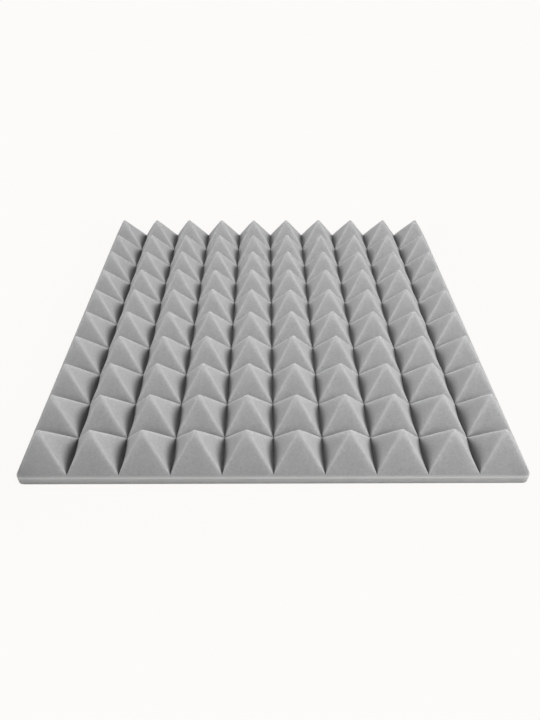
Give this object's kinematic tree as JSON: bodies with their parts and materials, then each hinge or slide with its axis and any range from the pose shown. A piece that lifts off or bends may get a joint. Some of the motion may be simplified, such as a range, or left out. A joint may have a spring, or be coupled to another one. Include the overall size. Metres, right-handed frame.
{
  "type": "acoustic foam panel",
  "caption": "Square tile of open-cell foam with rows of pyramids that absorb sound, on tape strips with release liners.",
  "frame": {"origin": "on the surface that the tile lies on, under the centre of the tile", "axes": "+Z out of the back through the pyramids, which is away from the wall in use; X and Y along the sides; the liners' tabs are at the lowest Y"},
  "size_m": [0.5, 0.5, 0.0505],
  "materials": {
    "foam": "matte",
    "tape": "satin",
    "liner": "satin"
  },
  "bodies": {
    "panel": {"foam_tile": "foam", "tape_strip_1": "tape", "tape_strip_2": "tape", "tape_strip_3": "tape", "tape_strip_4": "tape"},
    "liner_1": {"release_liner_1": "liner"},
    "liner_2": {"release_liner_2": "liner"},
    "liner_3": {"release_liner_3": "liner"},
    "liner_4": {"release_liner_4": "liner"}
  },
  "joints": [
    {"name": "liner_1_peel", "type": "slide", "parent": "panel", "child": "liner_1", "axis": [0, -1, 0], "range_m": [0, 0.48]},
    {"name": "liner_2_peel", "type": "slide", "parent": "panel", "child": "liner_2", "axis": [0, -1, 0], "range_m": [0, 0.48]},
    {"name": "liner_3_peel", "type": "slide", "parent": "panel", "child": "liner_3", "axis": [0, -1, 0], "range_m": [0, 0.48]},
    {"name": "liner_4_peel", "type": "slide", "parent": "panel", "child": "liner_4", "axis": [0, -1, 0], "range_m": [0, 0.48]}
  ]
}
